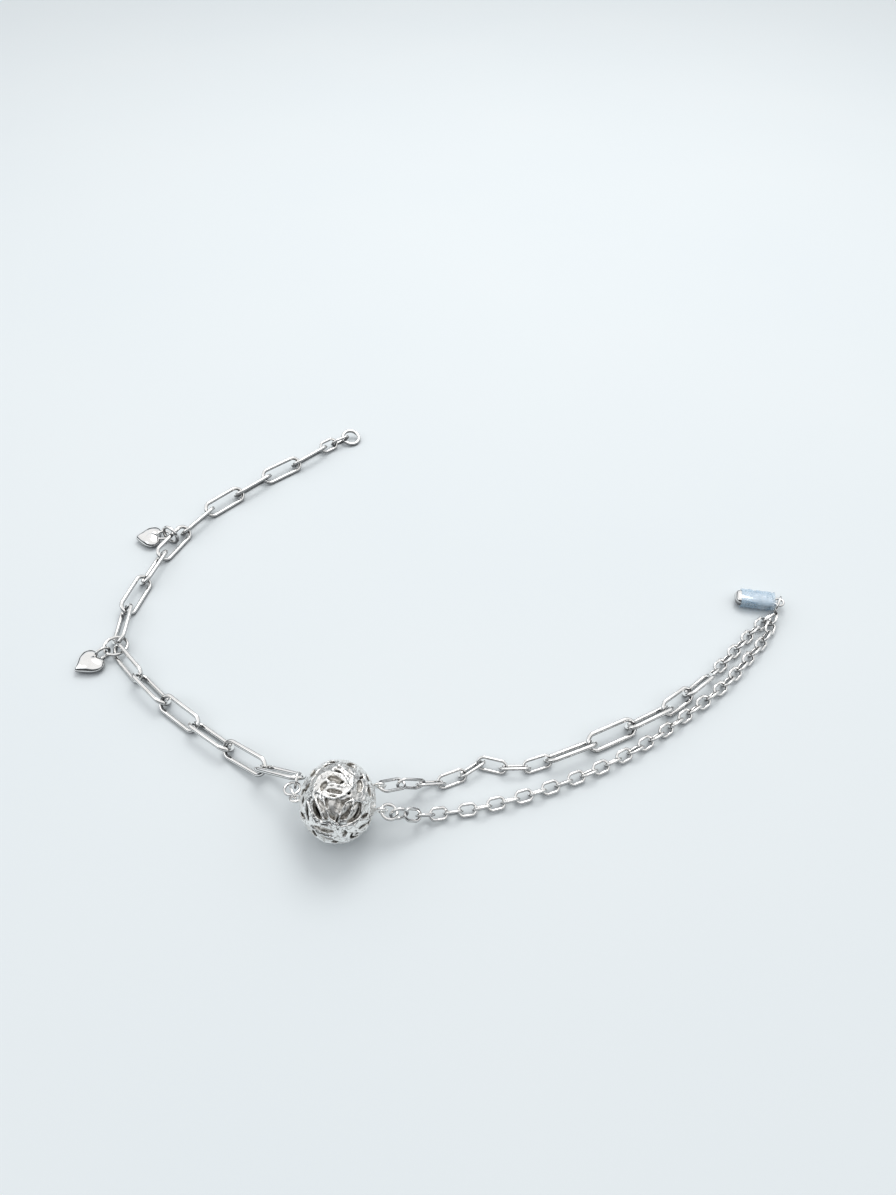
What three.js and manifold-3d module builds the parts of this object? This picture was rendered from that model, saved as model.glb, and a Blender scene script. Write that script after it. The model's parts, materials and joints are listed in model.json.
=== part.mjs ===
// Charm anklet: an openwork ball, a long-link chain with two hearts, and two fine strands that share a clasp.
// Millimetres, +Z up. The anklet lies open on the plane Z = 0.
import * as THREE from "three";
import { mergeVertices } from "three/addons/utils/BufferGeometryUtils.js";
import Module from "manifold-3d";

const wasm = await Module();
wasm.setup();

// Driving dimensions
const BALL = { across: 12.4, alongChain: 11.4, wall: 0.9, loopRadius: 0.75, loopWire: 0.45 };
const SLOT_CUT = { depth: 3, pastSurface: 1.1 };
const LONG_LINK = { length: 9.4, width: 3.4, wire: 0.75 };
const MIDDLE_LINK = { length: 7.2, width: 3.0, wire: 0.7 };
const SHORT_LINK = { length: 5.1, width: 2.3, wire: 0.48 };
const END_LINK = { length: 4.5, width: 2.6, wire: 0.6 };
const BALL_RING = { length: 2.75, width: 2.75, wire: 0.42 };
const STRAND_RING = { length: 2.9, width: 2.7, wire: 0.48 };
const NEAR_HEART_RING = { length: 4.5, width: 4.5, wire: 0.55 };
const FAR_HEART_RING = { length: 4.0, width: 4.0, wire: 0.65 };
const END_RING = { length: 4.2, width: 4.2, wire: 0.75 };
const CLASP_RING = { length: 3.8, width: 3.8, wire: 0.5 };
const HEART = { width: 5.6, height: 5.3, core: 0.9, puff: 0.65 };
const HEART_LOOP = { length: 3.0, width: 2.4, wire: 0.5, reach: 2.66, level: 1.25 };
const CABLE = { diameter: 1.9, sides: 8, stepLength: 4.5 };
const CLASP = { length: 7.0, width: 3.2, thickness: 1.9, bevel: 0.35, eyeRadius: 0.85, eyeWire: 0.46 };
const FILM = { length: 7.0, width: 4.3, height: 2.9, wall: 0.2, corner: 1.1 };
const WIRE_SIDES = { thick: 8, thin: 6 };
const LOOP_STEPS = 10;

const FINISH = {
  polishedSilver: { color: 0xe4e4e2, roughness: 0.16, metalness: 1.0 },
  castSilver: { color: 0xd6d5d1, roughness: 0.34, metalness: 1.0 },
  blueFilm: { color: 0xa9c6ea, roughness: 0.12, metalness: 0.0 },
};

const anklet = new THREE.Group();
const v3 = (x, y, z) => new THREE.Vector3(x, y, z);
const degrees = THREE.MathUtils.degToRad;

function addMesh(name, geometry, finish) {
  const mesh = new THREE.Mesh(geometry, new THREE.MeshStandardMaterial(FINISH[finish]));
  mesh.name = name;
  anklet.add(mesh);
  return mesh;
}

// Frame of a link that runs from joint to joint: X along the chain, Y across the link, Z out of its plane.
// A roll of 0 lies flat, and a positive roll lifts the side on the left of the run.
function chainFrame(from, to, rollDegrees) {
  const along = to.clone().sub(from).normalize();
  const level = v3(-along.y, along.x, 0).normalize();
  const upright = along.clone().cross(level);
  const across = level.multiplyScalar(Math.cos(degrees(rollDegrees)));
  across.addScaledVector(upright, Math.sin(degrees(rollDegrees)));
  return new THREE.Matrix4().makeBasis(along, across, along.clone().cross(across));
}

// A wire ring, parted at its middle and drawn out along X to the link's length.
function linkGeometry({ length, width, wire }) {
  const sides = wire > 0.6 ? WIRE_SIDES.thick : WIRE_SIDES.thin;
  const geometry = new THREE.TorusGeometry((width - wire) / 2, wire / 2, sides, LOOP_STEPS);
  const position = geometry.attributes.position;
  for (let i = 0; i < position.count; i += 1) {
    const x = position.getX(i);
    position.setX(i, x + (Math.sign(x) * (length - width)) / 2);
  }
  return geometry;
}

function addLink(name, size, from, to, rollDegrees) {
  const mesh = addMesh(name, linkGeometry(size), "polishedSilver");
  mesh.quaternion.setFromRotationMatrix(chainFrame(from, to, rollDegrees));
  mesh.position.copy(from).lerp(to, 0.5);
  return mesh;
}

// Links of one size, joint to joint at equal spacing along a smooth route.
function addChain(names, size, route, rolls) {
  const curve = new THREE.CatmullRomCurve3(route.map((p) => v3(...p)), false, "centripetal");
  curve.arcLengthDivisions = 600;
  const joints = curve.getSpacedPoints(rolls.length);
  rolls.forEach((roll, i) => addLink(names(i + 1), size, joints[i], joints[i + 1], roll));
}

// Solids for joining and cutting
function toSolid(geometry) {
  const bare = geometry.clone();
  bare.deleteAttribute("normal");
  bare.deleteAttribute("uv");
  const merged = mergeVertices(bare, 1e-4);
  const vertProperties = new Float32Array(merged.attributes.position.array);
  const triVerts = new Uint32Array(merged.index.array);
  return new wasm.Manifold(new wasm.Mesh({ numProp: 3, vertProperties, triVerts }));
}

function toGeometry(solid) {
  const { vertProperties, triVerts } = solid.getMesh();
  const geometry = new THREE.BufferGeometry();
  geometry.setAttribute("position", new THREE.BufferAttribute(new Float32Array(vertProperties), 3));
  geometry.setIndex(new THREE.BufferAttribute(new Uint32Array(triVerts), 1));
  geometry.computeVertexNormals();
  return geometry;
}

const BALL_CENTRE = v3(0, 0, BALL.across / 2);

// The leaf slots on one face of the ball, in parts of its radius: u to the right and v up across the face,
// half the length, half the width, and the slant in degrees. The far face has the same ones, turned half round.
const FACE_SLOTS = [
  // u, v, halfLength, halfWidth, slant
  [-0.03, 0.73, 0.13, 0.03, -24], [-0.1, 0.51, 0.23, 0.07, -12], [-0.39, 0.33, 0.15, 0.055, 65],
  [-0.1, 0.22, 0.19, 0.04, 4], [0.5, 0.39, 0.2, 0.07, 80], [0.8, 0.25, 0.15, 0.05, -62],
  [0.57, 0.66, 0.12, 0.035, 45], [-0.545, -0.26, 0.24, 0.05, -66], [-0.265, -0.22, 0.22, 0.045, -66],
  [-0.04, -0.24, 0.22, 0.04, -88], [0.13, -0.2, 0.22, 0.04, 62], [0.33, -0.16, 0.2, 0.045, 66],
  [0.545, -0.24, 0.2, 0.04, 72], [-0.3, -0.69, 0.26, 0.05, -10], [-0.2, -0.87, 0.2, 0.03, -12],
  [0.74, -0.26, 0.14, 0.045, 26], [0.72, -0.53, 0.15, 0.045, 32], [0.22, -0.7, 0.14, 0.045, 74],
  [0.42, -0.78, 0.1, 0.035, 60], [-0.8, 0.27, 0.14, 0.045, 62], [-0.76, -0.28, 0.22, 0.035, -80],
  [-0.64, 0.6, 0.15, 0.045, 45], [-0.38, 0.82, 0.13, 0.04, 20], [0.26, 0.85, 0.12, 0.04, -15],
];
const FACING = v3(0.118, -0.499, 0.858).normalize();
const FACE_RIGHT = v3(FACING.z, 0, -FACING.x).normalize();
const FACE_UP = FACING.clone().cross(FACE_RIGHT);

// One leaf-shaped cutter, pointed at both ends, standing on the XY plane.
function leafGeometry(halfLength, halfWidth) {
  const outline = new THREE.Shape();
  outline.moveTo(-halfLength, 0);
  outline.quadraticCurveTo(0, 2 * halfWidth, halfLength, 0);
  outline.quadraticCurveTo(0, -2 * halfWidth, -halfLength, 0);
  return new THREE.ExtrudeGeometry(outline, { depth: SLOT_CUT.depth, bevelEnabled: false, curveSegments: 3 });
}

// The outward direction of a place on a face. The side is 1 for the near face and -1 for the far one.
function faceDirection(u, v, side) {
  const out = FACE_RIGHT.clone().multiplyScalar(u * side);
  out.addScaledVector(FACE_UP, v);
  return out.addScaledVector(FACING, side * Math.sqrt(1 - u * u - v * v));
}

// Where a slot's cutter stands: X along the slot, Z outwards through the ball's wall.
function slotFrame(u, v, slant, side, radius) {
  const step = v3(Math.cos(degrees(slant)), Math.sin(degrees(slant)), 0).multiplyScalar(0.01);
  const out = faceDirection(u, v, side);
  const along = faceDirection(u + step.x, v + step.y, side).sub(out);
  along.addScaledVector(out, -along.dot(out)).normalize();
  const frame = new THREE.Matrix4().makeBasis(along, out.clone().cross(along), out);
  return frame.setPosition(out.multiplyScalar(radius + SLOT_CUT.pastSurface - SLOT_CUT.depth));
}

// A small wire loop soldered on the ball, standing out from its surface in the given direction.
function ballLoop(centre, normal) {
  const loop = new THREE.TorusGeometry(BALL.loopRadius, BALL.loopWire / 2, WIRE_SIDES.thin, LOOP_STEPS);
  loop.applyQuaternion(new THREE.Quaternion().setFromUnitVectors(v3(0, 0, 1), normal.clone().normalize()));
  return toSolid(loop.translate(centre.x, centre.y, centre.z));
}

function ballGeometry(loops) {
  const radius = BALL.across / 2;
  const squash = BALL.alongChain / BALL.across;
  const outside = new THREE.SphereGeometry(radius, 28, 14).scale(squash, 1, 1);
  const inside = new THREE.SphereGeometry(radius - BALL.wall, 20, 10).scale(squash, 1, 1);
  let solid = toSolid(outside).subtract(toSolid(inside));
  for (const side of [1, -1]) {
    for (const [u, v, halfLength, halfWidth, slant] of FACE_SLOTS) {
      const leaf = leafGeometry(halfLength * radius, halfWidth * radius);
      leaf.applyMatrix4(slotFrame(u, v, slant, side, radius));
      solid = solid.subtract(toSolid(leaf.scale(squash, 1, 1)));
    }
  }
  for (const { centre, normal } of loops) {
    const ring = ballLoop(centre.clone().sub(BALL_CENTRE), normal);
    solid = solid.add(ring.subtract(toSolid(inside)));
  }
  return toGeometry(solid);
}

// A puffed heart with a flat back on Z = 0, its point towards -X and its soldered loop on +X.
function heartGeometry(loopTurnDegrees) {
  const { width, height, core, puff } = HEART;
  const halfWidth = width / 2 - puff;
  const outline = new THREE.Shape();
  outline.moveTo(-height / 2 + puff, 0);
  outline.bezierCurveTo(-1.35, halfWidth * 0.62, -0.5, halfWidth, height * 0.22, halfWidth);
  outline.bezierCurveTo(height * 0.48, halfWidth, height * 0.5, halfWidth * 0.1, height * 0.2, 0);
  outline.bezierCurveTo(height * 0.5, -halfWidth * 0.1, height * 0.48, -halfWidth, height * 0.22, -halfWidth);
  outline.bezierCurveTo(-0.5, -halfWidth, -1.35, -halfWidth * 0.62, -height / 2 + puff, 0);
  const body = new THREE.ExtrudeGeometry(outline, {
    depth: core,
    curveSegments: 5,
    bevelThickness: puff,
    bevelSize: puff,
    bevelSegments: 2,
  });
  body.translate(0, 0, puff);
  const loop = linkGeometry(HEART_LOOP);
  loop.rotateX(degrees(loopTurnDegrees));
  loop.translate(HEART_LOOP.reach, 0, HEART_LOOP.level);
  return toGeometry(toSolid(body).add(toSolid(loop)));
}

function addHeart(name, centre, headingDegrees, loopTurnDegrees) {
  const heart = addMesh(name, heartGeometry(loopTurnDegrees), "polishedSilver");
  heart.rotation.z = degrees(headingDegrees);
  heart.position.copy(centre);
  return heart;
}

// A fine cable chain as one round solid along its route.
function addCable(name, route) {
  const path = new THREE.CatmullRomCurve3(route.map((p) => v3(...p)), false, "centripetal");
  const section = new THREE.Shape();
  for (let i = 0; i < CABLE.sides; i += 1) {
    const angle = ((i + 0.5) * 2 * Math.PI) / CABLE.sides;
    const point = [Math.cos(angle), Math.sin(angle)].map((c) => (c * CABLE.diameter) / 2);
    if (i === 0) section.moveTo(...point);
    else section.lineTo(...point);
  }
  section.closePath();
  const steps = Math.round(path.getLength() / CABLE.stepLength);
  addMesh(name, new THREE.ExtrudeGeometry(section, { steps, extrudePath: path }), "polishedSilver");
}

function roundedBar(shape, length, width, radius) {
  const [x, y] = [length / 2, width / 2];
  shape.moveTo(-x + radius, -y);
  shape.lineTo(x - radius, -y);
  shape.absarc(x - radius, -y + radius, radius, -Math.PI / 2, 0);
  shape.lineTo(x, y - radius);
  shape.absarc(x - radius, y - radius, radius, 0, Math.PI / 2);
  shape.lineTo(-x + radius, y);
  shape.absarc(-x + radius, y - radius, radius, Math.PI / 2, Math.PI);
  shape.lineTo(-x, -y + radius);
  shape.absarc(-x + radius, -y + radius, radius, Math.PI, 1.5 * Math.PI);
  return shape;
}

// The clasp's body lies flat inside its film sleeve, which is open at both ends. Its eye stands out at +X.
function claspGeometry() {
  const { length, width, thickness, bevel, eyeRadius, eyeWire } = CLASP;
  const [flatLength, flatWidth] = [length - 2 * bevel, width - 2 * bevel];
  const outline = roundedBar(new THREE.Shape(), flatLength, flatWidth, flatWidth / 2 - 0.01);
  const body = new THREE.ExtrudeGeometry(outline, {
    depth: thickness - 2 * bevel,
    curveSegments: 6,
    bevelThickness: bevel,
    bevelSize: bevel,
    bevelSegments: 2,
  });
  body.translate(-length / 2, 0, bevel - thickness / 2);
  const eye = new THREE.TorusGeometry(eyeRadius, eyeWire / 2, WIRE_SIDES.thin, LOOP_STEPS);
  eye.translate(eyeRadius - 0.1, 0, 0);
  return toGeometry(toSolid(body).add(toSolid(eye)));
}

function filmGeometry() {
  const { length, width, height, wall, corner } = FILM;
  const outside = roundedBar(new THREE.Shape(), height, width, corner);
  outside.holes.push(roundedBar(new THREE.Path(), height - 2 * wall, width - 2 * wall, corner - wall));
  const sleeve = new THREE.ExtrudeGeometry(outside, { depth: length, bevelEnabled: false, curveSegments: 4 });
  return sleeve.rotateY(degrees(90)).translate(-CLASP.length - 0.3, 0, 0);
}

function addClasp(shoulder, headingDegrees) {
  const clasp = addMesh("clasp", claspGeometry(), "polishedSilver");
  const film = addMesh("clasp_film", filmGeometry(), "blueFilm");
  for (const mesh of [clasp, film]) {
    mesh.rotation.z = degrees(headingDegrees);
    mesh.position.copy(shoulder);
  }
}

// Places, from the middle of the ball's foot
const BALL_LOOPS = {
  chain: { centre: v3(-6.25, 0.6, 5.9), normal: v3(0, 0.45, 0.89) },
  lower: { centre: v3(6.25, -1.0, 5.3), normal: v3(0, 1, 0.15) },
  upper: { centre: v3(5.9, 2.5, 6.3), normal: v3(0, 1, 0.15) },
};

const ball = addMesh("ball", ballGeometry(Object.values(BALL_LOOPS)), "castSilver");
ball.position.copy(BALL_CENTRE);

// Three small rings hang between the ball's loop and the chain
addLink("ball_ring_1", BALL_RING, v3(-6.4, 0.93, 5.75), v3(-6.98, 2.2, 5.2), 85);
addLink("ball_ring_2", BALL_RING, v3(-7.2, 2.12, 5.02), v3(-6.97, 3.58, 4.78), -7);
addLink("ball_ring_3", BALL_RING, v3(-6.61, 3.47, 5.02), v3(-6.44, 4.94, 5.26), -81);

// The long-link chain comes down from the ball, and the near heart's ring joins its two stretches
const NEAR_ROUTE = [
  [-6.37, 4.94, 4.8], [-12.7, 8.08, 2.29], [-18.7, 12.2, 1.4], [-24.6, 16.5, 1.35], [-30.5, 21.1, 1.35],
  [-36.1, 26.5, 1.45], [-41.0, 32.0, 1.45],
];
const FAR_ROUTE = [
  [-41.5, 34.6, 1.35], [-41.7, 42.0, 1.35], [-40.0, 49.4, 1.35], [-38.0, 56.7, 1.35], [-34.8, 63.2, 1.35],
  [-30.9, 69.3, 1.35], [-26.2, 74.0, 1.35], [-21.2, 79.1, 1.35], [-16.0, 83.4, 1.35], [-11.1, 88.3, 1.35],
];
const NEAR_ROLLS = [44, -48, 44, -42, 48, -60];
const FAR_ROLLS = [-40, 46, -44, 45, -46, 44, -46, 44, -44];
const chainName = (n) => `link_${String(n).padStart(2, "0")}`;
addChain(chainName, LONG_LINK, NEAR_ROUTE, NEAR_ROLLS);
addChain((n) => chainName(n + NEAR_ROLLS.length), LONG_LINK, FAR_ROUTE, FAR_ROLLS);

// The chain's far end: two short links and the ring that the clasp closes on
addLink("end_link_1", END_LINK, v3(-11.07, 88.4, 1.35), v3(-8.73, 90.58, 1.21), 45);
addLink("end_link_2", END_LINK, v3(-8.91, 90.45, 1.14), v3(-6.29, 92.29, 1.17), -55);
addLink("end_ring", END_RING, v3(-6.73, 92.08, 1.2), v3(-3.95, 93.15, 0.84), 20);

// Hearts, each on a jump ring
addLink("heart_ring_near", NEAR_HEART_RING, v3(-42.23, 32.39, 1.33), v3(-40.99, 33.96, 1.29), 3);
addHeart("heart_near", v3(-45.42, 29.7, 0), 43, 90);
addLink("heart_ring_far", FAR_HEART_RING, v3(-36.89, 60.1, 1.96), v3(-38.61, 61.11, 1.92), -85);
addHeart("heart_far", v3(-42.05, 60.97, 0), 5, 0);

// The lower strand: two rings and a fine cable chain to the clasp
addLink("strand_ring_1", STRAND_RING, v3(6.58, -0.97, 5.17), v3(8.16, -0.89, 4.54), 0);
addLink("strand_ring_2", STRAND_RING, v3(7.97, -0.99, 4.58), v3(9.49, -0.74, 3.88), 88);
addCable("cable_strand", [
  [10.6, -0.5, 3.3], [12.0, 0.0, 2.2], [14.0, 0.7, 1.25], [16.8, 1.3, 0.95], [20.8, 2.0, 0.95],
  [29.6, 4.7, 0.95], [39.2, 8.8, 0.95], [47.6, 13.7, 0.95], [54.9, 19.1, 0.95], [61.8, 24.8, 0.95],
  [66.7, 30.0, 0.95], [71.6, 35.7, 0.95], [74.2, 39.2, 0.95],
]);

// The upper strand: short links, then longer links, then a fine cable chain beside the lower strand
const UPPER_ROUTE = [
  [6.29, 2.45, 6.12], [8.95, 4.2, 4.24], [11.8, 5.3, 2.2], [14.4, 6.2, 1.0], [16.9, 6.9, 0.9],
  [18.8, 8.3, 0.9], [21.3, 9.9, 1.0], [24.1, 9.0, 0.9], [27.4, 8.9, 0.9], [31.4, 10.1, 1.2],
];
const SHORT_ROLLS = [1, 88, -45, 45, -45, 45, -45, 45];
addChain((n) => `short_link_${String(n).padStart(2, "0")}`, SHORT_LINK, UPPER_ROUTE, SHORT_ROLLS);

// Each joint of the longer links, with the size and roll of the link that leaves it
const UPPER_LINKS = [
  { at: [31.6, 10.2, 1.3], size: LONG_LINK, roll: -45 },
  { at: [38.5, 13.1, 1.35], size: LONG_LINK, roll: 42 },
  { at: [45.2, 16.4, 1.35], size: LONG_LINK, roll: -46 },
  { at: [51.4, 19.8, 1.3], size: MIDDLE_LINK, roll: 44 },
  { at: [55.5, 23.0, 1.2], size: MIDDLE_LINK, roll: -48 },
  { at: [59.6, 26.5, 1.2] },
];
UPPER_LINKS.slice(0, -1).forEach(({ at, size, roll }, i) => {
  addLink(`upper_link_${i + 1}`, size, v3(...at), v3(...UPPER_LINKS[i + 1].at), roll);
});
addCable("cable_tail", [
  [60.8, 27.6, 0.95], [62.5, 29.4, 0.95], [66.8, 34.0, 0.95], [69.7, 37.1, 0.95], [72.0, 39.6, 0.95],
]);

// The clasp and the ring that joins it to both strands
addLink("clasp_ring", CLASP_RING, v3(75.49, 43.31, 2.04), v3(74.11, 40.65, 2.0), -90);
addClasp(v3(74.76, 43.45, FILM.height / 2), -10);

// The part's origin is under the middle of its outline
anklet.updateMatrixWorld(true);
const outline = new THREE.Box3().setFromObject(anklet, true);
const middle = outline.getCenter(v3(0, 0, 0));
anklet.position.set(-middle.x, -middle.y, -outline.min.z);

export default anklet;
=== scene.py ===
import json
import math
import random

import bpy
from mathutils import Matrix, Vector, noise

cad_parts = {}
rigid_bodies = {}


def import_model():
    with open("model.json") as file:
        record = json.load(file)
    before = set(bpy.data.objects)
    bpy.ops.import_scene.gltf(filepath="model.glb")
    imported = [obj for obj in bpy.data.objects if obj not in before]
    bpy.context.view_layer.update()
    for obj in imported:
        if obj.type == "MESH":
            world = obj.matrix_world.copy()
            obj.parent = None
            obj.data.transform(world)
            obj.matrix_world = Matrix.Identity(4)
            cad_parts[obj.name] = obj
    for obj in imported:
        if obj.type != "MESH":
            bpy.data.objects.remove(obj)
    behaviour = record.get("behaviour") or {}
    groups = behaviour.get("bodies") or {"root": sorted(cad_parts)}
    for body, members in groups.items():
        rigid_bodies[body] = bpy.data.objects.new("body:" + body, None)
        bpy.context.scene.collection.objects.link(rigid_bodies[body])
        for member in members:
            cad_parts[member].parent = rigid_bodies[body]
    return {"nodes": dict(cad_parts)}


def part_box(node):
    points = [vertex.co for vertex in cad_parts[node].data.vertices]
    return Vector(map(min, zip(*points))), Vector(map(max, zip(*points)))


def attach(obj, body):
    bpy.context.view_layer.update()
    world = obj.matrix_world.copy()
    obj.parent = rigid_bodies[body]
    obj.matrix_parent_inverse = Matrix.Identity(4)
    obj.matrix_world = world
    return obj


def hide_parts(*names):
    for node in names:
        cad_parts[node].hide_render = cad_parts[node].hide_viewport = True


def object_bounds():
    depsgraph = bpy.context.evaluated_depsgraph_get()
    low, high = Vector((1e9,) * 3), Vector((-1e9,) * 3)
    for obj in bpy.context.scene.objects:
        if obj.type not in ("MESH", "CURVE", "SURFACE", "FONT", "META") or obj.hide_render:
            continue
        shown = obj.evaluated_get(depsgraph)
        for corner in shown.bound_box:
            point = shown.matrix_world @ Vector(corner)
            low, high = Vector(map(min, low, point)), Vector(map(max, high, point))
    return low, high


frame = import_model()
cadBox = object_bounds()
mm = 0.001

# the middle of the ball's foot, which the places below are measured from, apart from the lamps'
ballLow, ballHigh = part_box("ball")
foot = Vector(((ballLow.x + ballHigh.x) / 2, (ballLow.y + ballHigh.y) / 2, 0))


def at(x, y, z):
    return foot + Vector((x, y, z)) * mm


class Sock:
    # wraps a socket, so that an expression on values adds its Math nodes
    def __init__(self, tree, out):
        self.tree, self.out = tree, out

    def math(self, operation, other=None, swap=False):
        m = self.tree.nodes.new("ShaderNodeMath")
        m.operation = operation
        a, b = (1, 0) if swap else (0, 1)
        self.tree.links.new(self.out, m.inputs[a])
        if isinstance(other, Sock):
            self.tree.links.new(other.out, m.inputs[b])
        elif other is not None:
            m.inputs[b].default_value = other
        return Sock(self.tree, m.outputs[0])

    def __add__(self, other):
        return self.math("ADD", other)

    def __radd__(self, other):
        return self.math("ADD", other)

    def __sub__(self, other):
        return self.math("SUBTRACT", other)

    def __rsub__(self, other):
        return self.math("SUBTRACT", other, swap=True)

    def __mul__(self, other):
        return self.math("MULTIPLY", other)

    def __rmul__(self, other):
        return self.math("MULTIPLY", other)


class Nodes:
    # adds nodes to one node tree
    def __init__(self, tree):
        self.tree = tree

    def node(self, kind, settings=None, output=0, **inputs):
        # an input is named with _ for its spaces, or inN for its number
        n = self.tree.nodes.new(kind)
        for key, value in (settings or {}).items():
            if key == "stops":
                ramp = n.color_ramp
                while len(ramp.elements) < len(value):
                    ramp.elements.new(0.5)
                for stop, (spot, tone) in zip(ramp.elements, value):
                    stop.position, stop.color = spot, (*tone, 1)
            else:
                setattr(n, key, value)
        for key, value in inputs.items():
            byNumber = key.startswith("in") and key[2:].isdigit()
            self.put(n.inputs[int(key[2:]) if byNumber else key.replace("_", " ")], value)
        return Sock(self.tree, n.outputs[output])

    def put(self, socket, value):
        if isinstance(value, Sock):
            self.tree.links.new(value.out, socket)
        else:
            socket.default_value = value


class Mat(Nodes):
    def __init__(self, name):
        self.mat = bpy.data.materials.new(name)
        self.mat.use_nodes = True
        super().__init__(self.mat.node_tree)
        self.shader = self.tree.nodes["Principled BSDF"]

    def set(self, name, value):
        self.put(self.shader.inputs[name], value)

    def places(self):
        return self.node("ShaderNodeTexCoord", output=3)

    def noise(self, scale, detail=3.0, rough=0.5):
        return self.node(
            "ShaderNodeTexNoise", Vector=self.places(), Scale=scale, Detail=detail, Roughness=rough)

    def ramp(self, value, low, high):
        return self.node("ShaderNodeMapRange", {"clamp": True}, Value=value, in1=low, in2=high)

    def mix(self, factor, a, b):
        a, b = ((*tone, 1) if isinstance(tone, tuple) else tone for tone in (a, b))
        return self.node("ShaderNodeMix", {"data_type": "RGBA"}, output=2, in0=factor, in6=a, in7=b)

    def bump(self, height, strength, distance):
        return self.node("ShaderNodeBump", Height=height, Strength=strength, Distance=distance)


# the silver's dark underside tone and its strength are a painted reflection of a dark room, not a colour of
# the silver
silverLook = {
    "bright": (0.96, 0.955, 0.945), "dull": (0.82, 0.81, 0.79), "underside": (0.10, 0.10, 0.105),
    "roughness": 0.07, "wear": 0.08, "dulling": 0.6, "darkFrom": 0.44, "darkTo": 0.08, "darkness": 0.9,
    "cloudScale": 420, "wearScale": 2600, "dentScale": 900, "dents": 0.00003,
}
# the ball's two darker tones are painted shade, for places lower under its face and for the deepest ones
castLook = {
    "bright": (0.96, 0.955, 0.94), "shallowShade": (0.68, 0.665, 0.635), "recess": (0.19, 0.175, 0.155),
    "roughness": 0.24, "fieldRoughness": 0.2, "recessRoughness": 0.15, "creaseShadeStrength": 0.85,
    "cloudScale": 800, "grainScale": 1500, "grain": 0.00010,
}
filmLook = {
    "colour": (0.62, 0.82, 1.0), "pale": (0.88, 0.94, 1.0), "roughness": 0.22, "alpha": 0.30,
    "hazeAlpha": 0.30, "coat": 0.6, "hazeScale": 260, "crinkleScale": 500, "crinkle": 0.00012,
}


def makeSilver(name):
    m = Mat(name)
    cloud = m.noise(silverLook["cloudScale"], 4)
    fine = m.noise(silverLook["wearScale"], 2)
    # painted reflection: darker on faces that look down or sideways, standing in for a dark room mirrored in
    # the silver
    up = m.node("ShaderNodeSeparateXYZ", Vector=m.node("ShaderNodeTexCoord", output=1), output=2)
    under = 1 - m.ramp(up + 0.25 * (cloud - 0.5), silverLook["darkTo"], silverLook["darkFrom"])
    dulled = m.ramp(cloud, 0.42, 0.75) * silverLook["dulling"]
    tone = m.mix(dulled, silverLook["bright"], silverLook["dull"])
    m.set("Base Color", m.mix(under * silverLook["darkness"], tone, silverLook["underside"]))
    m.set("Metallic", 1.0)
    m.set("Roughness", silverLook["roughness"] + silverLook["wear"] * m.ramp(fine, 0.35, 0.8))
    m.set("Normal", m.bump(m.noise(silverLook["dentScale"], 2), 0.25, silverLook["dents"]))
    return m.mat


def makeCastSilver(name):
    m = Mat(name)
    depth = m.node("ShaderNodeAttribute", {"attribute_name": "recess"}, output=2)
    crease = m.node("ShaderNodeAttribute", {"attribute_name": "crease"}, output=2)
    cloud = m.noise(castLook["cloudScale"], 5, 0.6)
    # painted shade: the deeper a point lies under the ball's face, the greyer it is, and the floors of the
    # slots near black; noise breaks up the edges
    shallowShade = m.ramp(depth + 0.55 * (cloud - 0.5), 0.10, 0.42)
    dark = m.ramp(depth + 0.3 * (cloud - 0.5), 0.55, 1.0)
    tone = m.mix(dark, m.mix(shallowShade, castLook["bright"], castLook["shallowShade"]), castLook["recess"])
    # painted shade along the creases, where the surface dips below its neighbours
    creaseShade = m.ramp(crease + 0.25 * (cloud - 0.5), 0.16, 0.55)
    m.set("Base Color", m.mix(creaseShade * castLook["creaseShadeStrength"], tone, castLook["recess"]))
    m.set("Metallic", 1.0)
    duller = castLook["fieldRoughness"] * shallowShade + castLook["recessRoughness"] * dark
    m.set("Roughness", castLook["roughness"] + duller)
    m.set("Normal", m.bump(m.noise(castLook["grainScale"], 5, 0.65), 0.6, castLook["grain"]))
    return m.mat


def makeFilm(name):
    m = Mat(name)
    cloud = m.noise(filmLook["hazeScale"], 3)
    haze = m.ramp(cloud, 0.45, 0.7)
    m.set("Base Color", m.mix(haze * 0.8, filmLook["colour"], filmLook["pale"]))
    m.set("Roughness", filmLook["roughness"] + 0.1 * cloud)
    m.set("Alpha", filmLook["alpha"] + filmLook["hazeAlpha"] * haze)
    m.set("Coat Weight", filmLook["coat"])
    m.set("Normal", m.bump(m.noise(filmLook["crinkleScale"], 3), 0.5, filmLook["crinkle"]))
    return m.mat


silver = makeSilver("polishedSilver")
castSilver = makeCastSilver("castSilver")
film = makeFilm("blueFilm")
print("materials ready")


def clearSelection():
    for o in bpy.context.view_layer.objects:
        o.select_set(False)


def select(o):
    clearSelection()
    o.select_set(True)
    bpy.context.view_layer.objects.active = o


def apply(o):
    select(o)
    for m in list(o.modifiers):
        bpy.ops.object.modifier_apply(modifier=m.name)


def joinAll(name, things):
    clearSelection()
    for t in things:
        t.select_set(True)
    bpy.context.view_layer.objects.active = things[0]
    if len(things) > 1:
        bpy.ops.object.join()
    things[0].name = name
    return things[0]


def place(o):
    select(o)
    bpy.ops.object.transform_apply(location=True, rotation=True, scale=True)
    return o


def finishPiece(o, name, material, slotName, *nodes):
    # rounder wire than the CAD's is held inside the CAD's box
    low, high = cadBox
    for v in o.data.vertices:
        v.co = [min(max(c, a), b) for c, a, b in zip(v.co, low, high)]
    o.name = name
    o.data.name = name
    o.data.materials.clear()
    o.data.materials.append(material)
    select(o)
    bpy.ops.object.shade_smooth()
    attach(o, "root")
    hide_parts(*nodes)
    return o


# a drawn-out link is wider at its middle than at its ends
linkBow = {"middle": 1.09, "fall": 0.13}


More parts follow.
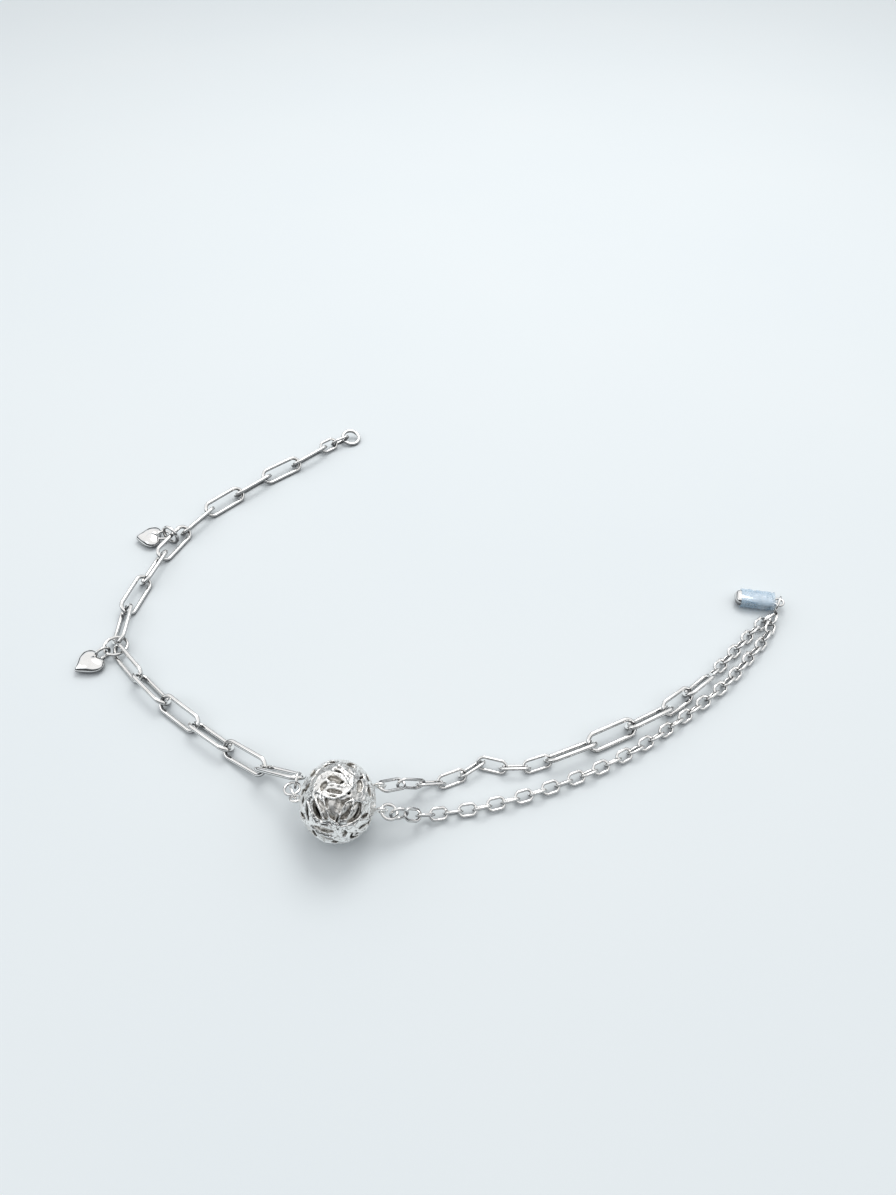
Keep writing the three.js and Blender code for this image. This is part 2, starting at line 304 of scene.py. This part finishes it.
def wireLink(length, width, wire, around=46, sides=14):
    # a wire ring, parted at its middle and drawn out to the link's length
    clearSelection()
    bpy.ops.mesh.primitive_torus_add(
        major_radius=(width - wire) / 2 * mm, minor_radius=wire / 2 * mm,
        major_segments=around, minor_segments=sides)
    o = bpy.context.object
    if length > width:
        for side in (-1, 1):
            bpy.ops.object.mode_set(mode="EDIT")
            bpy.ops.mesh.select_all(action="DESELECT")
            bpy.ops.object.mode_set(mode="OBJECT")
            for v in o.data.vertices:
                v.select = v.co.x * side > 0
            bpy.ops.object.mode_set(mode="EDIT")
            bpy.ops.transform.translate(value=(side * (length - width) / 2 * mm, 0, 0))
            bpy.ops.object.mode_set(mode="OBJECT")
        for v in o.data.vertices:
            v.co.y *= linkBow["middle"] - linkBow["fall"] * (2 * v.co.x / (length * mm)) ** 2
    return o


def copyAt(o, matrix):
    c = o.copy()
    c.data = o.data.copy()
    bpy.context.collection.objects.link(c)
    c.data.transform(matrix)
    return c


def nodeFrame(name):
    # the middle and the three directions of a CAD link, longest first
    points = {tuple(round(c, 7) for c in v.co) for v in frame["nodes"][name].data.vertices}
    pts = [Vector(p) for p in sorted(points)]
    centre = sum(pts, Vector()) / len(pts)
    spread = Matrix(((0, 0, 0), (0, 0, 0), (0, 0, 0)))
    for p in pts:
        d = (p - centre) * 1000
        for i in range(3):
            for j in range(3):
                spread[i][j] += d[i] * d[j]

    def mainAxis(matrix, start):
        # the matrix turns any vector a little nearer to its main direction each time
        v = start.normalized()
        for _ in range(400):
            v = (matrix @ v).normalized()
        return v

    inverse = spread.inverted()
    normal = mainAxis(inverse, Vector((0.31, 0.42, 0.85)))
    along = mainAxis(spread, normal.orthogonal() + 0.3 * normal.cross(normal.orthogonal()))
    along = (along - normal * along.dot(normal)).normalized()
    across = normal.cross(along)
    turn = Matrix((along, across, normal)).transposed().to_4x4()
    return Matrix.Translation(centre) @ turn


def dropParts(parts):
    for p in parts:
        bpy.data.objects.remove(p, do_unlink=True)


cameraLook = {"right": 15.83, "back": -66.81, "above": 120.8, "pitch": 47, "lens": 36.16}
cam = bpy.data.objects.new("camera", bpy.data.cameras.new("camera"))
bpy.context.collection.objects.link(cam)
cam.location = at(cameraLook["right"], cameraLook["back"], cameraLook["above"])
cam.rotation_euler = (math.radians(90 - cameraLook["pitch"]), 0, 0)
cam.data.sensor_fit = "HORIZONTAL"
cam.data.sensor_width = 36
cam.data.lens = cameraLook["lens"]
cam.data.clip_start = 0.005
cam.data.clip_end = 20
bpy.context.scene.camera = cam

floorLook = {"colour": (0.785, 0.84, 0.87), "cloud": (0.80, 0.85, 0.875), "size": 4.0}
clearSelection()
bpy.ops.mesh.primitive_plane_add(size=floorLook["size"], location=(0, 0, -0.00002))
floor = bpy.context.object
floor.name = "floor"
floorMat = Mat("floorPaper")
cloud = floorMat.ramp(floorMat.noise(12, 2), 0.3, 0.7)
floorMat.set("Base Color", floorMat.mix(cloud, floorLook["colour"], floorLook["cloud"]))
floorMat.set("Roughness", 0.75)
floor.data.materials.append(floorMat.mat)

lightLook = {"sky": 0.92, "key": 0.72, "fill": 0.10}


def softLight(name, where, aim, size, power, colour):
    lamp = bpy.data.objects.new(name, bpy.data.lights.new(name, "AREA"))
    bpy.context.collection.objects.link(lamp)
    lamp.data.shape = "DISK"
    lamp.data.size = size
    lamp.data.energy = power
    lamp.data.color = colour
    lamp.location = where
    lamp.rotation_euler = (Vector(aim) - Vector(where)).to_track_quat("-Z", "Y").to_euler()
    return lamp


softLight("keyLight", (0.05, 0.22, 0.42), (0, 0, 0), 0.28, lightLook["key"], (1.0, 0.99, 0.97))
softLight("fillLight", (-0.35, -0.15, 0.3), (0, 0, 0), 0.25, lightLook["fill"], (0.92, 0.96, 1.0))

skyStops = (
    (0.0, (0.05, 0.052, 0.055)), (0.20, (0.03, 0.032, 0.035)),
    (0.33, (0.80, 0.84, 0.88)), (0.5, (1.0, 1.0, 1.0)),
)
world = bpy.data.worlds.new("studio")
bpy.context.scene.world = world
world.use_nodes = True
sky = Nodes(world.node_tree)
background = sky.tree.nodes["Background"]
skyDirection = sky.node("ShaderNodeTexCoord")
away = sky.node("ShaderNodeSeparateXYZ", Vector=skyDirection, output=1)
upward = sky.node("ShaderNodeSeparateXYZ", Vector=skyDirection, output=2)
# the room is darker low down, and further up on the side that the viewer stands
level = upward - (away * -0.45).math("MAXIMUM", 0.0)
sky.put(background.inputs["Color"], sky.node("ShaderNodeValToRGB", {"stops": skyStops}, Fac=level))
sky.put(background.inputs["Strength"], lightLook["sky"])
bpy.context.scene.view_settings.view_transform = "Standard"
bpy.context.scene.view_settings.exposure = 0
print("camera, floor and light ready")


def numbered(stem, first, last, digits=1):
    return [f"{stem}_{i:0{digits}d}" for i in range(first, last + 1)]


linkSizes = {
    "long": {
        "length": 9.4, "width": 3.4, "wire": 0.75,
        "nodes": numbered("link", 1, 15, 2) + numbered("upper_link", 1, 3),
    },
    "middle": {"length": 7.2, "width": 3.0, "wire": 0.7, "nodes": numbered("upper_link", 4, 5)},
    "short": {"length": 5.1, "width": 2.3, "wire": 0.48, "nodes": numbered("short_link", 1, 8, 2)},
    "end": {"length": 4.5, "width": 2.6, "wire": 0.6, "nodes": numbered("end_link", 1, 2)},
    "ballRing": {"length": 2.75, "width": 2.75, "wire": 0.42, "nodes": numbered("ball_ring", 1, 3)},
    "strandRing": {"length": 2.9, "width": 2.7, "wire": 0.48, "nodes": numbered("strand_ring", 1, 2)},
    "nearHeartRing": {"length": 4.5, "width": 4.5, "wire": 0.55, "nodes": ["heart_ring_near"]},
    "farHeartRing": {"length": 4.0, "width": 4.0, "wire": 0.65, "nodes": ["heart_ring_far"]},
    "endRing": {"length": 4.2, "width": 4.2, "wire": 0.75, "nodes": ["end_ring"]},
    "claspRing": {"length": 3.8, "width": 3.8, "wire": 0.5, "nodes": ["clasp_ring"]},
}
for size in linkSizes.values():
    pattern = wireLink(size["length"], size["width"], size["wire"])
    for node in size["nodes"]:
        piece = copyAt(pattern, nodeFrame(node))
        finishPiece(piece, node + "_wire", silver, "polished_silver", node)
    dropParts([pattern])
print("links and rings ready")


cableLook = {"length": 3.2, "width": 2.1, "wire": 0.48, "pitch": 2.24, "around": 18, "sides": 8, "roll": 36}
strandRoute = [
    (9.8, -0.65, 3.7), (12.0, 0.0, 2.2), (14.0, 0.7, 1.25), (16.8, 1.3, 0.95), (20.8, 2.0, 0.95),
    (29.6, 4.7, 0.95), (39.2, 8.8, 0.95), (47.6, 13.7, 0.95), (54.9, 19.1, 0.95), (61.8, 24.8, 0.95),
    (66.7, 30.0, 0.95), (71.6, 35.7, 0.95), (74.1, 40.5, 1.2),
]
tailRoute = [
    (59.8, 26.7, 1.2), (62.5, 29.4, 0.95), (66.8, 34.0, 0.95), (69.7, 37.1, 0.95), (72.2, 39.5, 0.95),
    (73.7, 40.6, 1.3),
]


def smoothRoute(points, steps=24):
    # a smooth curve through all the points
    pts = [Vector(p) for p in points]
    ends = [2 * pts[0] - pts[1]] + pts + [2 * pts[-1] - pts[-2]]
    out = []
    for i in range(1, len(ends) - 2):
        a, b, c, d = ends[i - 1:i + 3]
        for k in range(steps):
            t = k / steps
            bend = (2 * a - 5 * b + 4 * c - d) * t ** 2 + (3 * b - a - 3 * c + d) * t ** 3
            out.append(0.5 * (2 * b + (c - a) * t + bend))
    out.append(pts[-1])
    return out


def evenPoints(route, pitch):
    # points along the route, about a pitch apart, from end to end
    lengths = [0.0]
    for a, b in zip(route, route[1:]):
        lengths.append(lengths[-1] + (b - a).length)
    count = max(1, round(lengths[-1] / pitch))
    out, k = [], 0
    for n in range(count + 1):
        want = lengths[-1] * n / count
        while k < len(lengths) - 2 and lengths[k + 1] < want:
            k += 1
        t = (want - lengths[k]) / max(1e-9, lengths[k + 1] - lengths[k])
        out.append(route[k].lerp(route[k + 1], t))
    return out


def linkFrame(a, b, roll):
    along = (b - a).normalized()
    level = Vector((-along.y, along.x, 0)).normalized()
    across = level * math.cos(roll) + along.cross(level) * math.sin(roll)
    turn = Matrix((along, across, along.cross(across))).transposed().to_4x4()
    return Matrix.Translation(at(*((a + b) / 2))) @ turn


def cableChain(route, name, node, startSide):
    # every other link stands a quarter turn from the last, give or take a little
    pattern = wireLink(*(cableLook[key] for key in ("length", "width", "wire", "around", "sides")))
    random.seed(7)
    joints = evenPoints(smoothRoute(route), cableLook["pitch"])
    made = []
    for i, (a, b) in enumerate(zip(joints, joints[1:])):
        roll = math.radians(cableLook["roll"] if (i + startSide) % 2 else cableLook["roll"] - 90)
        made.append(copyAt(pattern, linkFrame(a, b, roll + random.uniform(-0.12, 0.12))))
    dropParts([pattern])
    return finishPiece(joinAll(name, made), name, silver, "polished_silver", node)


cableChain(strandRoute, "lower_strand_links", "cable_strand", 1)
cableChain(tailRoute, "upper_strand_links", "cable_tail", 0)
print("cable chains ready")


ballLook = {
    "radius": 5.95, "height": 6.2, "squash": 11.4 / 12.4, "wall": 0.95, "voxel": 0.118,
    "loopRadius": 0.75, "loopWire": 0.45,
    "loops": [
        # middle, direction of its axis
        ((-6.25, 0.6, 5.9), (0, 0.45, 0.89)),
        ((6.25, -1.0, 5.3), (0, 1, 0.15)),
        ((5.9, 2.5, 6.3), (0, 1, 0.15)),
    ],
}
leafLook = {"above": 0.8, "taper": 0.35, "fullness": 1.25}
petalLook = {"thickness": 0.45, "sink": 0.56}
rimLook = {"radius": 0.15, "level": 0.02, "wave": 0.06, "drift": 0.018, "swelling": 0.45}
castShape = {
    "facets": 0.012, "dents": 0.055, "grain": 0.045, "wrinkle": 0.05, "creaseGain": 38, "recessStart": 0.14,
}
# the face with the petals looks up and forward; u runs right and v up across it
facing = Vector((0.118, -0.499, 0.858)).normalized()
faceRight = Vector((facing.z, 0, -facing.x)).normalized()
faceUp = facing.cross(faceRight).normalized()

# each slot: u, v, half length, half width, slant in degrees, depth
slots = [
    (-0.05, 0.70, 0.11, 0.030, -20, 1.6), (-0.11, 0.50, 0.21, 0.075, -14, 0.55),
    (-0.39, 0.33, 0.13, 0.065, 65, 0.5), (-0.10, 0.22, 0.20, 0.042, -6, 0.5),
    (0.53, 0.40, 0.18, 0.080, 80, 0.45), (0.80, 0.30, 0.17, 0.055, -70, 0.6),
    (0.27, 0.21, 0.045, 0.036, 0, 1.6), (0.56, 0.60, 0.10, 0.028, 30, 1.6),
    (0.08, 0.46, 0.05, 0.035, 0, 1.6), (-0.44, -0.22, 0.30, 0.14, -57, 0.6),
    (-0.12, -0.16, 0.30, 0.22, -82, 0.6), (0.20, -0.17, 0.30, 0.16, 52, 0.6),
    (0.45, -0.22, 0.30, 0.15, 62, 0.6), (-0.53, -0.31, 0.21, 0.022, -57, 1.6),
    (-0.24, -0.31, 0.11, 0.030, -55, 1.6), (0.04, -0.45, 0.06, 0.035, 60, 1.6),
    (0.55, -0.27, 0.16, 0.026, 66, 1.6), (-0.30, -0.68, 0.26, 0.060, -10, 0.5),
    (-0.32, -0.535, 0.26, 0.030, -8, 1.6), (-0.20, -0.87, 0.20, 0.030, -12, 1.6),
    (0.74, -0.28, 0.14, 0.045, 26, 0.6), (0.72, -0.53, 0.17, 0.045, 32, 1.6),
    (0.25, -0.72, 0.14, 0.050, 74, 0.6), (0.42, -0.77, 0.11, 0.035, 60, 1.6),
    (0.60, -0.70, 0.11, 0.035, 28, 0.6), (-0.82, 0.27, 0.14, 0.050, 62, 0.6),
    (-0.75, -0.28, 0.26, 0.040, -80, 1.6), (-0.90, -0.06, 0.15, 0.030, 86, 1.6),
    (-0.66, 0.62, 0.15, 0.045, 45, 0.6), (-0.38, 0.82, 0.15, 0.040, 20, 0.6),
    (0.26, 0.85, 0.14, 0.040, -15, 0.6),
]
# a belt of slots between the two faces, every other one cut through
belt = {"count": 11, "reach": 0.955, "halfLength": 0.17, "halfWidth": 0.06, "lean": 28, "start": 8}
for i in range(belt["count"]):
    turn = 360 * i / belt["count"] + belt["start"]
    u, v = belt["reach"] * math.cos(math.radians(turn)), belt["reach"] * math.sin(math.radians(turn))
    slant = turn + 90 + belt["lean"] * (-1) ** i
    slots.append((u, v, belt["halfLength"], belt["halfWidth"], slant, 1.6 if i % 2 else 0.6))

# each petal that stands up in a wide slot: u, v, half length, half width, slant in degrees
petals = [
    (-0.41, -0.21, 0.26, 0.090, -57), (-0.14, -0.13, 0.27, 0.130, -80), (0.03, -0.24, 0.22, 0.065, 76),
    (0.21, -0.16, 0.26, 0.085, 50), (0.44, -0.22, 0.27, 0.090, 61), (-0.64, -0.26, 0.24, 0.050, -68),
    (-0.14, 0.44, 0.16, 0.050, -18), (-0.36, 0.28, 0.10, 0.035, 60), (0.46, 0.36, 0.15, 0.035, 84),
    (-0.28, -0.68, 0.18, 0.022, -10), (0.24, -0.72, 0.10, 0.022, 74),
]
# each raised rim: u, v points
rims = [
    [(-0.76, 0.07), (-0.57, 0.18), (-0.37, 0.12), (-0.17, 0.06), (0.00, 0.09), (0.14, 0.16), (0.34, 0.34)],
    [(-0.62, 0.16), (-0.60, 0.38), (-0.48, 0.58), (-0.28, 0.66), (0.04, 0.60), (0.20, 0.42), (0.30, 0.32)],
    [(-0.30, 0.35), (-0.18, 0.38), (0.02, 0.36), (0.16, 0.34)],
    [
        (0.34, 0.36), (0.34, 0.60), (0.50, 0.72), (0.68, 0.52), (0.70, 0.22), (0.62, 0.05),
        (0.36, 0.04), (0.22, -0.02),
    ],
    [(0.62, 0.05), (0.80, 0.02), (0.95, 0.10)],
    [(0.62, 0.05), (0.64, -0.18), (0.52, -0.48), (0.28, -0.54), (0.14, -0.56), (-0.08, -0.52)],
    [(-0.74, 0.00), (-0.66, 0.12), (-0.56, 0.02), (-0.42, -0.22), (-0.28, -0.46)],
    [(-0.78, 0.00), (-0.66, -0.26), (-0.48, -0.52), (-0.25, -0.52), (0.02, -0.62), (0.12, -0.78)],
    [(-0.37, 0.07), (-0.28, -0.16), (-0.16, -0.38), (0.00, -0.48)],
    [(0.20, -0.02), (0.12, -0.22), (0.06, -0.46)],
    [(0.40, 0.02), (0.36, -0.20), (0.24, -0.48)],
    [(-0.62, -0.60), (-0.40, -0.76), (-0.15, -0.80), (0.05, -0.88), (0.30, -0.90)],
    [(-0.52, -0.82), (-0.22, -0.94), (0.04, -0.97)],
    [(0.64, -0.40), (0.80, -0.38), (0.92, -0.25)], [(0.52, -0.64), (0.70, -0.66), (0.86, -0.46)],
    [(0.14, -0.56), (0.32, -0.66), (0.36, -0.88)],
    [(-0.96, 0.20), (-0.74, 0.44), (-0.50, 0.76), (-0.20, 0.94)], [(-0.10, 0.95), (0.10, 0.72), (0.34, 0.60)],
    [(-0.20, 0.72), (-0.02, 0.84), (0.14, 0.70)],
    [(-0.94, -0.30), (-0.84, -0.50), (-0.62, -0.60)], [(0.84, 0.50), (0.90, 0.20), (0.98, -0.05)],
]


def onBall(u, v, radius, back):
    w = math.sqrt(max(0.0, 1 - u * u - v * v))
    side = -1 if back else 1
    p = (faceRight * (u * side) + faceUp * v + facing * (w * side)) * radius
    return Vector((p.x * ballLook["squash"], p.y, p.z + ballLook["height"]))


def leafFrame(u, v, slant, back):
    # where a leaf sits on the ball: its place, outward, along and across
    radius = ballLook["radius"]
    du, dv = math.cos(math.radians(slant)), math.sin(math.radians(slant))
    du, dv = 0.02 * du, 0.02 * dv
    step = onBall(u + du, v + dv, radius, back) - onBall(u - du, v - dv, radius, back)
    out = (onBall(u, v, radius, back) - Vector((0, 0, ballLook["height"]))).normalized()
    along = (step - out * step.dot(out)).normalized()
    return onBall(u, v, radius, back), out, along, out.cross(along)


def leafCutter(u, v, halfLength, halfWidth, slant, depth, back):
    radius = ballLook["radius"]
    spot, out, along, across = leafFrame(u, v, slant, back)
    clearSelection()
    bpy.ops.mesh.primitive_cylinder_add(vertices=14, radius=1, depth=1)
    o = bpy.context.object
    for p in o.data.vertices:
        # the sag keeps a long leaf's floor at an even depth
        sag = (halfLength * radius * p.co.x) ** 2 / (2 * radius)
        height = leafLook["above"] if p.co.z > 0 else -depth - sag
        taper = 1 - leafLook["taper"] * p.co.x ** 2
        width = p.co.y * halfWidth * radius * taper * leafLook["fullness"]
        point = spot + out * height
        point += along * (p.co.x * halfLength * radius) + across * width
        p.co = at(*point)
    return o


def petalRidge(u, v, halfLength, halfWidth, slant, back):
    radius = ballLook["radius"]
    spot, out, along, across = leafFrame(u, v, slant, back)
    clearSelection()
    bpy.ops.mesh.primitive_uv_sphere_add(segments=20, ring_count=12, radius=1)
    o = bpy.context.object
    for p in o.data.vertices:
        sag = (halfLength * radius * p.co.x) ** 2 / (2 * radius)
        point = spot + out * (p.co.z * petalLook["thickness"] - petalLook["sink"] - sag)
        point += along * (p.co.x * halfLength * radius) + across * (p.co.y * halfWidth * radius)
        p.co = at(*point)
    return o


def rimWire(points, back, number):
    radius = ballLook["radius"]
    flat = smoothRoute([(u, v, 0) for u, v in points], 8)
    curve = bpy.data.curves.new("rim", "CURVE")
    curve.dimensions = "3D"
    curve.bevel_depth = rimLook["radius"] * mm
    curve.bevel_resolution = 2
    curve.use_fill_caps = True
    line = curve.splines.new("POLY")
    line.points.add(len(flat) - 1)
    for i, (q, p) in enumerate(zip(line.points, flat)):
        level = rimLook["level"] + rimLook["wave"] * noise.noise(Vector((i * 0.31, number * 3.7, 0)))
        drift = rimLook["drift"] * noise.noise(Vector((i * 0.23, number * 5.1, 4)))
        q.co = (*at(*onBall(p.x + drift, p.y - drift, radius + level, back)), 1)
        q.radius = 1.0 + rimLook["swelling"] * noise.noise(Vector((i * 0.37, number * 2.3, 8)))
    o = bpy.data.objects.new("rim", curve)
    bpy.context.collection.objects.link(o)
    select(o)
    bpy.ops.object.convert(target="MESH")
    return o


def piercedShell():
    clearSelection()
    bpy.ops.mesh.primitive_uv_sphere_add(segments=72, ring_count=36, radius=ballLook["radius"] * mm)
    shell = bpy.context.object
    for v in shell.data.vertices:
        bumpy = 1 + castShape["facets"] * noise.noise(v.co * 900)
        x, y, z = (c / mm for c in v.co)
        v.co = at(x * ballLook["squash"] * bumpy, y * bumpy, z * bumpy + ballLook["height"])
    solidify = shell.modifiers.new("wall", "SOLIDIFY")
    solidify.thickness = ballLook["wall"] * mm
    solidify.offset = -1
    apply(shell)
    cutters = joinAll("cutters", [leafCutter(*s, back) for back in (False, True) for s in slots])
    cut = shell.modifiers.new("slots", "BOOLEAN")
    cut.operation = "DIFFERENCE"
    cut.solver = "EXACT"
    cut.use_self = True
    cut.object = cutters
    apply(shell)
    dropParts([cutters])
    return shell


def castBall():
    # shell, rims and petals melt into one casting with a hand-made surface: soft dents and fine wrinkles
    shell = piercedShell()
    wires = [rimWire(r, back, n) for back in (False, True) for n, r in enumerate(rims)]
    ridges = [petalRidge(*p, back) for back in (False, True) for p in petals]
    ball = joinAll("ball_cast", [shell] + wires + ridges)
    remesh = ball.modifiers.new("cast", "REMESH")
    remesh.mode = "VOXEL"
    remesh.voxel_size = ballLook["voxel"] * mm
    soften = ball.modifiers.new("soften", "SMOOTH")
    soften.factor = 0.5
    soften.iterations = 2
    apply(ball)
    normals = [v.normal.copy() for v in ball.data.vertices]
    for v, normal in zip(ball.data.vertices, normals):
        p = v.co / mm
        swell = castShape["dents"] * noise.noise(p * 0.8 + Vector((9, 0, 0)))
        swell += castShape["grain"] * noise.noise(p * 2.3)
        swell -= castShape["wrinkle"] * max(0.0, 1 - 7 * abs(noise.noise(p * 1.15)))
        v.co += normal * swell * mm
    return ball


def hollowness(mesh):
    # how far each point lies below the middle of its neighbours, so that creases can be given painted shade
    points = [v.co.copy() for v in mesh.vertices]
    normals = [v.normal.copy() for v in mesh.vertices]
    sums = [Vector() for _ in points]
    counts = [0] * len(points)
    for edge in mesh.edges:
        a, b = edge.vertices
        sums[a] += points[b]
        sums[b] += points[a]
        counts[a] += 1
        counts[b] += 1
    return [(sums[i] / counts[i] - points[i]).dot(normals[i]) / mm for i in range(len(points))]


def markRecesses(ball):
    crease = ball.data.attributes.new("crease", "FLOAT", "POINT")
    for i, hollow in enumerate(hollowness(ball.data)):
        crease.data[i].value = min(1.0, max(0.0, hollow * castShape["creaseGain"]))
    # the depth under the ball's face, which the material turns into painted shade and roughness
    recess = ball.data.attributes.new("recess", "FLOAT", "POINT")
    centre = at(0, 0, ballLook["height"])
    for i, v in enumerate(ball.data.vertices):
        p = (v.co - centre) / mm
        fromCentre = Vector((p.x / ballLook["squash"], p.y, p.z)).length
        recess.data[i].value = min(1.0, max(0.0, ballLook["radius"] + castShape["recessStart"] - fromCentre))


def makeBall():
    ball = castBall()
    markRecesses(ball)
    across = 2 * ballLook["loopRadius"] + ballLook["loopWire"]
    loops = []
    for spot, axis in ballLook["loops"]:
        loop = wireLink(across, across, ballLook["loopWire"], 30, 10)
        turn = Vector((0, 0, 1)).rotation_difference(Vector(axis)).to_matrix().to_4x4()
        loop.data.transform(Matrix.Translation(at(*spot)) @ turn)
        loops.append(loop)
    return finishPiece(joinAll("ball_cast", [ball] + loops), "ball_cast", castSilver, "cast_silver", "ball")


print("ball ready,", len(makeBall().data.polygons), "faces")

heartLook = {
    "unit": 0.172, "round": 2.66, "roundShare": 0.42, "puff": 1.12, "belly": 0.85, "dents": 0.16,
    "loop": (3.0, 2.4, 0.5), "reach": 2.66, "level": 1.25,
}


def heartOutline(turn):
    # the well-known heart curve, with its notch at +X and its point at -X, drawn a little towards a circle
    x = 13 * math.cos(turn) - 5 * math.cos(2 * turn) - 2 * math.cos(3 * turn) - math.cos(4 * turn) + 2
    y = 16 * math.sin(turn) ** 3
    circle = heartLook["round"] * Vector((math.cos(turn), math.sin(turn)))
    share = heartLook["roundShare"]
    return (1 - share) * heartLook["unit"] * Vector((x, y)) + share * circle


def heartBody(seed):
    clearSelection()
    bpy.ops.mesh.primitive_uv_sphere_add(segments=96, ring_count=40, radius=1)
    o = bpy.context.object
    for v in o.data.vertices:
        reach = min(1.0, math.hypot(v.co.x, v.co.y))
        outline = heartOutline(math.atan2(v.co.y, v.co.x)) * reach
        height = math.sqrt(max(0.0, 1 - reach ** 2.3))
        height *= heartLook["puff"] if v.co.z > 0 else -heartLook["belly"]
        dents = noise.noise(Vector((outline.x * 0.75 + seed, outline.y * 0.75, height * 0.3)))
        height += heartLook["dents"] * (1 - reach ** 3) * dents
        v.co = Vector((outline.x, outline.y, height + heartLook["belly"])) * mm
    return o


def makeHeart(node, name, heading, loopTurn, seed):
    body = heartBody(seed)
    loop = wireLink(*heartLook["loop"], 34, 12)
    loop.data.transform(Matrix.Rotation(math.radians(loopTurn), 4, "X"))
    loop.data.transform(Matrix.Translation(Vector((heartLook["reach"], 0, heartLook["level"])) * mm))
    heart = joinAll(name, [body, loop])
    heart.data.transform(Matrix.Rotation(math.radians(heading), 4, "Z"))
    low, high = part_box(node)
    xs = [v.co.x for v in heart.data.vertices]
    ys = [v.co.y for v in heart.data.vertices]
    shiftX = (low.x + high.x - min(xs) - max(xs)) / 2
    shiftY = (low.y + high.y - min(ys) - max(ys)) / 2
    heart.data.transform(Matrix.Translation((shiftX, shiftY, 0)))
    return finishPiece(heart, name, silver, "polished_silver", node)


makeHeart("heart_near", "near_heart_charm", 43, 90, 3.1)
makeHeart("heart_far", "far_heart_charm", 5, 0, 8.4)
print("hearts ready")


claspLook = {
    "shoulder": (74.76, 43.45, 1.45), "heading": -10, "length": 7.0, "width": 3.2, "thickness": 1.9,
    "bevel": 0.92, "narrowing": 0.10, "eye": (2.16, 2.16, 0.46), "eyeReach": 0.75,
}
filmShape = {
    "length": 5.9, "width": 3.9, "height": 2.5, "wall": 0.10, "start": -6.0, "inset": 0.12,
    "squareness": 0.62, "creases": 0.16, "fineCreases": 0.08, "slack": 0.95,
}


def claspPlace():
    turn = Matrix.Rotation(math.radians(claspLook["heading"]), 4, "Z")
    return Matrix.Translation(at(*claspLook["shoulder"])) @ turn


def makeClasp():
    clearSelection()
    bpy.ops.mesh.primitive_cube_add(size=1)
    body = bpy.context.object
    body.scale = Vector((claspLook["length"], claspLook["width"], claspLook["thickness"])) * mm
    place(body)
    bevel = body.modifiers.new("round", "BEVEL")
    bevel.width = claspLook["bevel"] * mm
    bevel.segments = 5
    bevel.limit_method = "NONE"
    apply(body)
    for v in body.data.vertices:
        half = claspLook["length"] / 2 * mm
        v.co.y *= 1 - claspLook["narrowing"] * (v.co.x / half) ** 2
        v.co.x -= half
    eye = wireLink(*claspLook["eye"], 30, 10)
    eye.data.transform(Matrix.Translation((claspLook["eyeReach"] * mm, 0, 0)))
    clasp = joinAll("clasp_body", [body, eye])
    clasp.data.transform(claspPlace())
    return finishPiece(clasp, "clasp_body", silver, "polished_silver", "clasp")


def makeFilmSleeve():
    clearSelection()
    bpy.ops.mesh.primitive_cylinder_add(vertices=48, radius=1, depth=1, end_fill_type="NOTHING")
    o = bpy.context.object
    bpy.ops.object.mode_set(mode="EDIT")
    bpy.ops.mesh.select_all(action="SELECT")
    bpy.ops.mesh.subdivide(number_cuts=1)
    bpy.ops.object.mode_set(mode="OBJECT")
    shape = o.modifiers.new("lengthen", "SUBSURF")
    shape.subdivision_type = "SIMPLE"
    shape.levels = shape.render_levels = 3
    apply(o)
    halfWidth = filmShape["width"] / 2 - filmShape["inset"]
    halfHeight = filmShape["height"] / 2 - filmShape["inset"]
    power = filmShape["squareness"]
    for v in o.data.vertices:
        angle = math.atan2(v.co.y, v.co.x)
        t = v.co.z + 0.5
        y = halfWidth * math.copysign(abs(math.cos(angle)) ** power, math.cos(angle))
        z = halfHeight * math.copysign(abs(math.sin(angle)) ** power, math.sin(angle))
        crush = filmShape["creases"] * noise.noise(Vector((t * 9, y * 1.3, z * 1.6 + 4)))
        crush += filmShape["fineCreases"] * noise.noise(Vector((t * 21, y * 3, z * 3)))
        shrink = min(1.0, filmShape["slack"] + crush * 0.55)
        v.co = Vector((filmShape["start"] + t * filmShape["length"], y * shrink, z * shrink)) * mm
    solidify = o.modifiers.new("sheet", "SOLIDIFY")
    solidify.thickness = filmShape["wall"] * mm
    solidify.offset = 0
    apply(o)
    o.data.transform(claspPlace())
    return finishPiece(o, "clasp_wrap", film, "blue_film", "clasp_film")


makeClasp()
makeFilmSleeve()
print("clasp and film ready")
